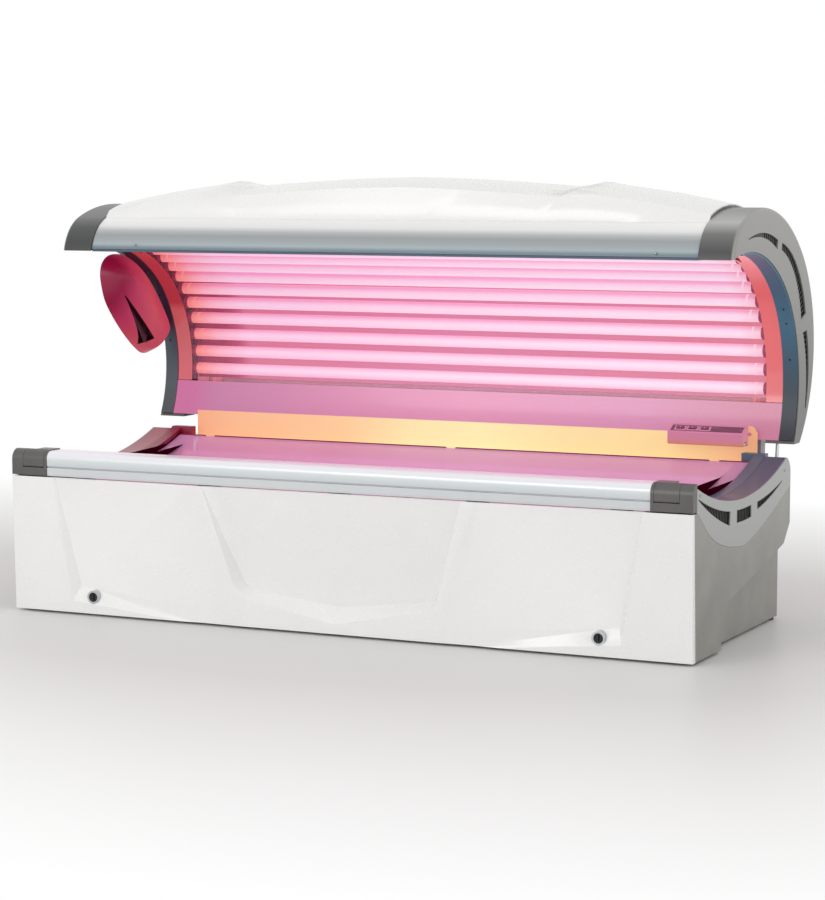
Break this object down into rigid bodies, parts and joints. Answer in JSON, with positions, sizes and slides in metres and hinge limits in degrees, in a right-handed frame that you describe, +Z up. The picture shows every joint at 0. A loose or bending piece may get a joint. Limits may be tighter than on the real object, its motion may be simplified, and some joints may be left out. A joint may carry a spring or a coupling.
{
  "type": "red light therapy bed",
  "caption": "Lie-down red light therapy bed: a moulded base with a dished clear lying sheet over lamps, and a lamp canopy that closes on a rear hinge.",
  "frame": {"origin": "middle of the bounding box on the floor", "axes": "+X along the bed to the right as seen from the front, +Y to the rear (hinge side), +Z up; the canopy rests fully open"},
  "size_m": [2.27, 1.1168, 1.3644],
  "materials": {
    "white_panel": "moulded white gloss panel",
    "silver_rail": "silver painted rail",
    "grey_panel": "warm metallic grey moulded panel",
    "slate_trim": "dark slate trim",
    "steel": "grey painted steel",
    "zinc": "bright zinc sheet",
    "black_plastic": "black plastic",
    "red_gloss": "translucent red gloss plastic",
    "clear_sheet": "clear acrylic sheet tinted by the lamps",
    "lamp_glass": "frosted lamp tube",
    "lamp_socket": "white lamp socket plate",
    "reflector": "bright aluminium reflector",
    "mauve_panel": "mauve lit panel",
    "orange_strip": "painted strip lit orange",
    "rubber": "black rubber",
    "chrome": "chromed steel"
  },
  "bodies": {
    "base": {"base_frame": "steel", "levelling_feet": "rubber", "floor_tray": "zinc", "ballasts": "zinc", "front_brackets": "steel", "front_rail": "silver_rail", "rail_strip": "white_panel", "base_cap_left": "grey_panel", "base_cap_right": "grey_panel", "side_panel_left": "grey_panel", "side_panel_right": "grey_panel", "bench_cheek_left": "grey_panel", "bench_cheek_right": "grey_panel", "cheek_grilles": "black_plastic", "bench_trims": "slate_trim", "bench_end_strips": "red_gloss", "bench_lamps": "lamp_glass", "bench_lamp_holders": "lamp_socket", "bench_reflector": "reflector", "bench_cradles": "steel", "rear_panel": "grey_panel", "rear_bridge": "orange_strip", "mains_gland": "black_plastic", "base_fan": "black_plastic", "hinge_arms": "steel", "control_box": "mauve_panel"},
    "front_panel": {"front_panel": "white_panel", "lock_bezels": "chrome"},
    "lock_left": {"lock_left": "black_plastic"},
    "lock_right": {"lock_right": "black_plastic"},
    "latch_left": {"latch_left": "grey_panel"},
    "latch_right": {"latch_right": "grey_panel"},
    "bench_sheet": {"bench_sheet_clear": "clear_sheet", "bench_sheet_hinge": "zinc"},
    "fan_rotor": {"base_fan_rotor": "black_plastic"},
    "key_start": {"key_start": "lamp_socket"},
    "key_speed": {"key_speed": "lamp_socket"},
    "key_stop": {"key_stop": "lamp_socket"},
    "strut_cylinder_left": {"strut_cylinder_left": "black_plastic"},
    "strut_cylinder_right": {"strut_cylinder_right": "black_plastic"},
    "strut_rod_left": {"strut_rod_left": "chrome"},
    "strut_rod_right": {"strut_rod_right": "chrome"},
    "nozzle_vane": {"nozzle_vane": "black_plastic"},
    "canopy": {"canopy_frame": "steel", "canopy_lugs": "steel", "canopy_shell": "white_panel", "canopy_rear_shell": "white_panel", "canopy_rail": "silver_rail", "canopy_rail_seal": "slate_trim", "canopy_cheek_left": "grey_panel", "canopy_cheek_right": "grey_panel", "canopy_grilles": "black_plastic", "canopy_rims": "slate_trim", "canopy_end_strips": "red_gloss", "canopy_sheet_clear": "clear_sheet", "canopy_lamps": "lamp_glass", "canopy_lamp_holders": "lamp_socket", "canopy_reflector": "reflector", "canopy_trim": "mauve_panel", "nozzle_pod": "red_gloss"}
  },
  "joints": [
    {"name": "canopy_lift", "type": "hinge", "parent": "base", "child": "canopy", "pos_m": [0, 0.42164, 0.62], "axis": [1, 0, 0], "range_deg": [0, 40], "stiffness_Nm_per_rad": 282, "springref_deg": -48.01},
    {"name": "bench_sheet_lift", "type": "hinge", "parent": "base", "child": "bench_sheet", "pos_m": [0, 0.29364, 0.48651], "axis": [1, 0, 0], "range_deg": [-30, 0]},
    {"name": "front_panel_tilt", "type": "hinge", "parent": "base", "child": "front_panel", "pos_m": [0, -0.53836, 0.4285], "axis": [1, 0, 0], "range_deg": [-8, 0]},
    {"name": "lock_left_turn", "type": "hinge", "parent": "front_panel", "child": "lock_left", "pos_m": [-0.845, -0.52103, 0.06], "axis": [0, 1, 0], "range_deg": [0, 90]},
    {"name": "latch_left_lift", "type": "hinge", "parent": "base", "child": "latch_left", "pos_m": [-1.051, -0.55386, 0.4655], "axis": [1, 0, 0], "range_deg": [0, 35]},
    {"name": "lock_right_turn", "type": "hinge", "parent": "front_panel", "child": "lock_right", "pos_m": [0.845, -0.52103, 0.06], "axis": [0, 1, 0], "range_deg": [0, 90]},
    {"name": "latch_right_lift", "type": "hinge", "parent": "base", "child": "latch_right", "pos_m": [1.051, -0.55386, 0.4655], "axis": [1, 0, 0], "range_deg": [0, 35]},
    {"name": "fan_spin", "type": "hinge", "parent": "base", "child": "fan_rotor", "pos_m": [0, 0.31164, 0.185], "axis": [0, 1, 0], "continuous": true},
    {"name": "key_start_press", "type": "slide", "parent": "base", "child": "key_start", "axis": [0, 0.4138, -0.9104], "range_m": [0, 0.0012], "stiffness_N_per_m": 400, "springref_m": -0.001},
    {"name": "key_speed_press", "type": "slide", "parent": "base", "child": "key_speed", "axis": [0, 0.4138, -0.9104], "range_m": [0, 0.0012], "stiffness_N_per_m": 400, "springref_m": -0.001},
    {"name": "key_stop_press", "type": "slide", "parent": "base", "child": "key_stop", "axis": [0, 0.4138, -0.9104], "range_m": [0, 0.0012], "stiffness_N_per_m": 400, "springref_m": -0.001},
    {"name": "strut_left_tilt", "type": "hinge", "parent": "base", "child": "strut_cylinder_left", "pos_m": [-1.043, 0.43164, 0.17], "axis": [1, 0, 0], "range_deg": [-2.55, 0.5]},
    {"name": "strut_left_stroke", "type": "slide", "parent": "strut_cylinder_left", "child": "strut_rod_left", "axis": [0, 0.1272, 0.9919], "range_m": [-0.001, 0.0576]},
    {"name": "strut_right_tilt", "type": "hinge", "parent": "base", "child": "strut_cylinder_right", "pos_m": [1.043, 0.43164, 0.17], "axis": [1, 0, 0], "range_deg": [-2.55, 0.5]},
    {"name": "strut_right_stroke", "type": "slide", "parent": "strut_cylinder_right", "child": "strut_rod_right", "axis": [0, 0.1272, 0.9919], "range_m": [-0.001, 0.0576]},
    {"name": "vane_tilt", "type": "hinge", "parent": "canopy", "child": "nozzle_vane", "pos_m": [-1.06755, 0.08614, 0.9005], "axis": [-0.0264, 0.6531, -0.7569], "range_deg": [-20, 20]}
  ],
  "couplings": [
    {"joint": "strut_left_tilt", "follows": "canopy_lift", "ratio": -0.056314},
    {"joint": "strut_left_stroke", "follows": "canopy_lift", "m_per_rad": 0.079704},
    {"joint": "strut_right_tilt", "follows": "canopy_lift", "ratio": -0.056314},
    {"joint": "strut_right_stroke", "follows": "canopy_lift", "m_per_rad": 0.079704}
  ]
}
